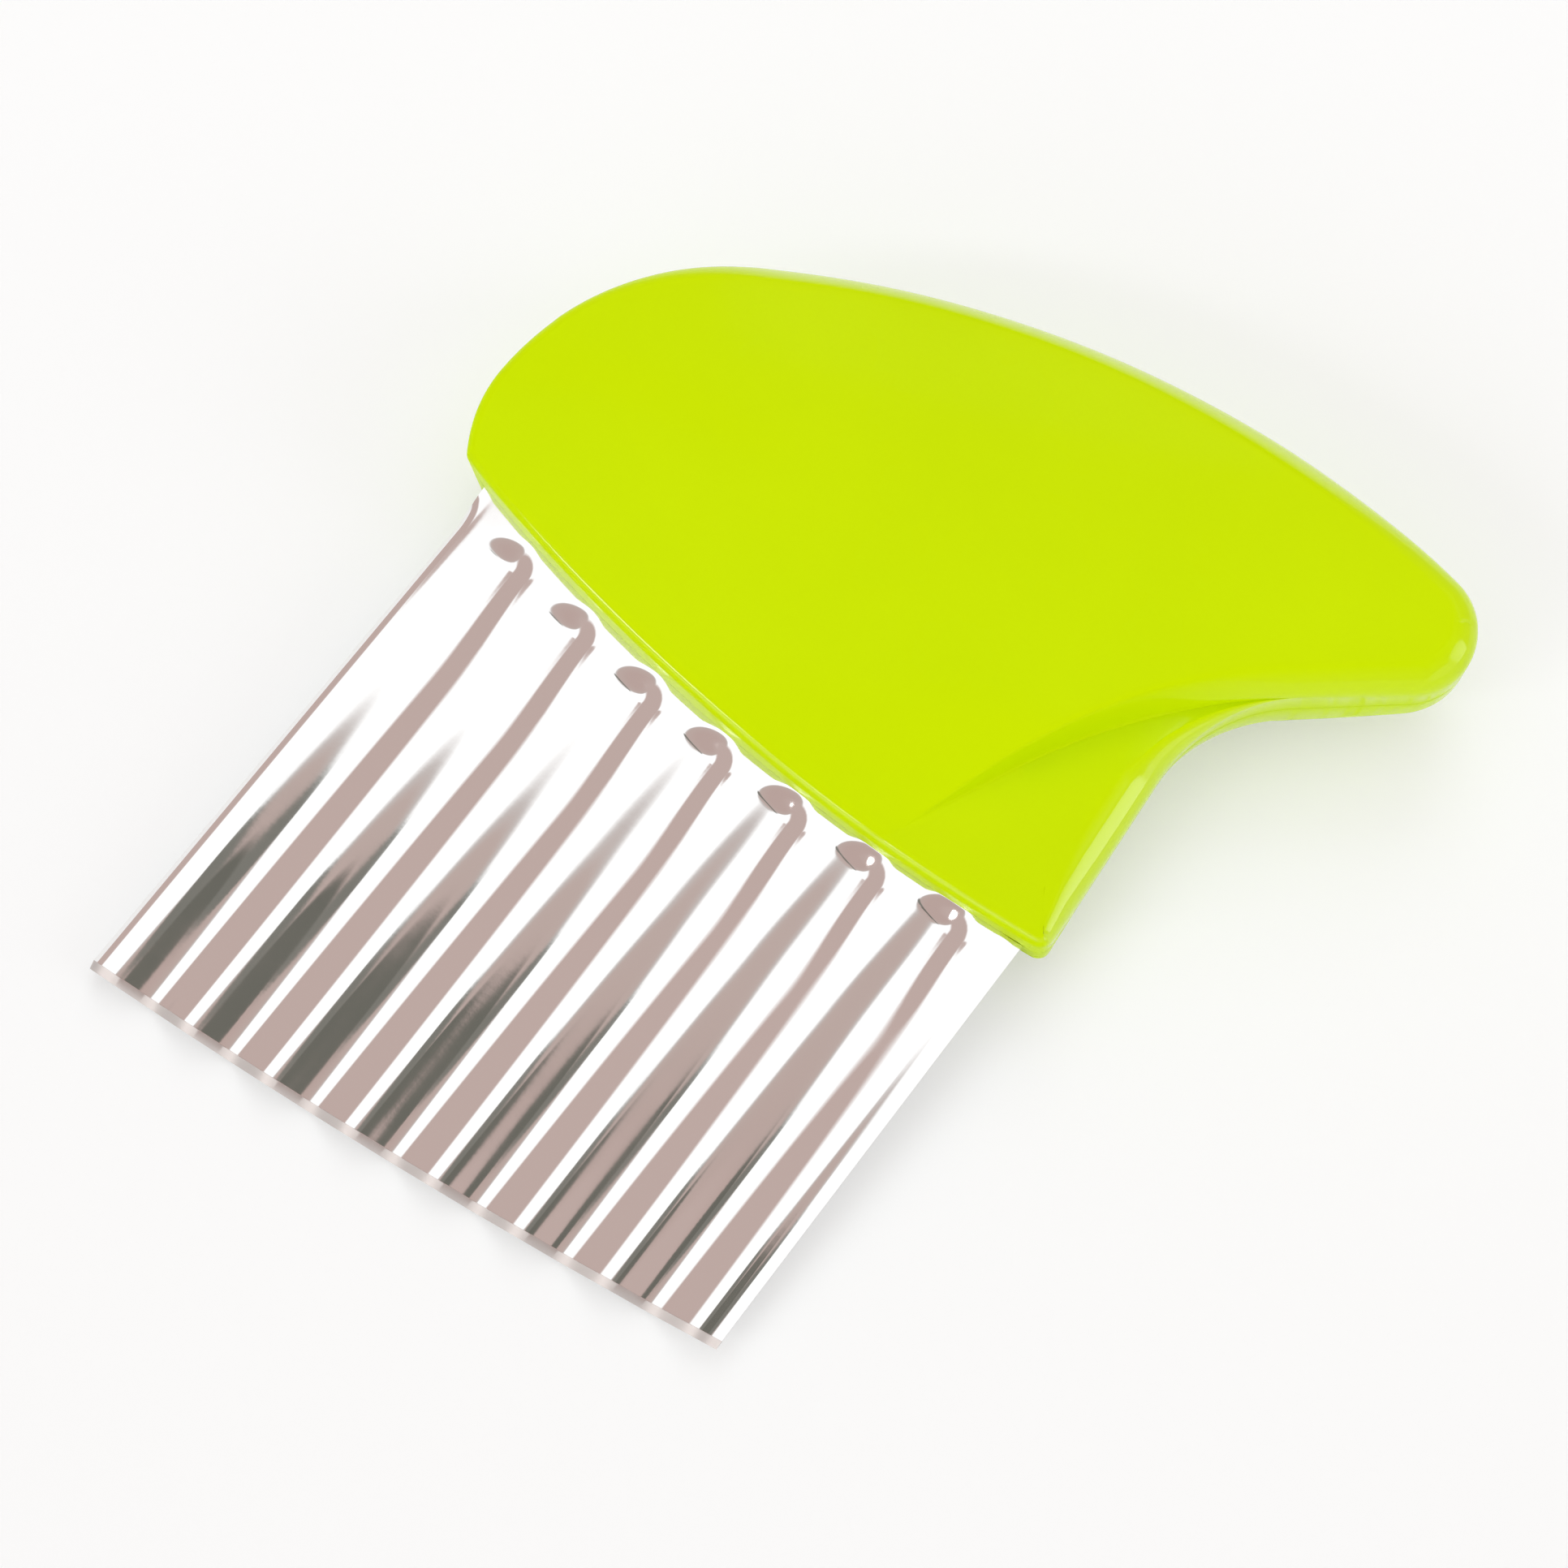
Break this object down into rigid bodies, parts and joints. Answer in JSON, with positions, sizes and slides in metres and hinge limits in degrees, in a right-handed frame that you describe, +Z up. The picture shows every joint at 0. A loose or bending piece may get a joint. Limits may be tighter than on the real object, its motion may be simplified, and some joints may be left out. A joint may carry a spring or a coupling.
{
  "type": "crinkle cutter",
  "caption": "Hand-held crinkle cutter with a fluted steel blade, a slanted wavy cutting edge and a curved glossy plastic handle shaped for the palm.",
  "frame": {"origin": "bottom centre of the part's box as it lies on a table, on the rear shell's crown and the cutting edge", "axes": "+X along the cutting edge toward the fin, +Y from the cutting edge toward the back of the handle, +Z up from the table"},
  "size_m": [0.1036, 0.1066, 0.0191],
  "materials": {
    "steel": "polished flutes with a satin ground bevel along the cutting edge",
    "handle": "glossy moulded lime-green plastic"
  },
  "bodies": {
    "root": {"blade": "steel", "handle_front_shell": "handle", "handle_rear_shell": "handle"}
  },
  "joints": []
}
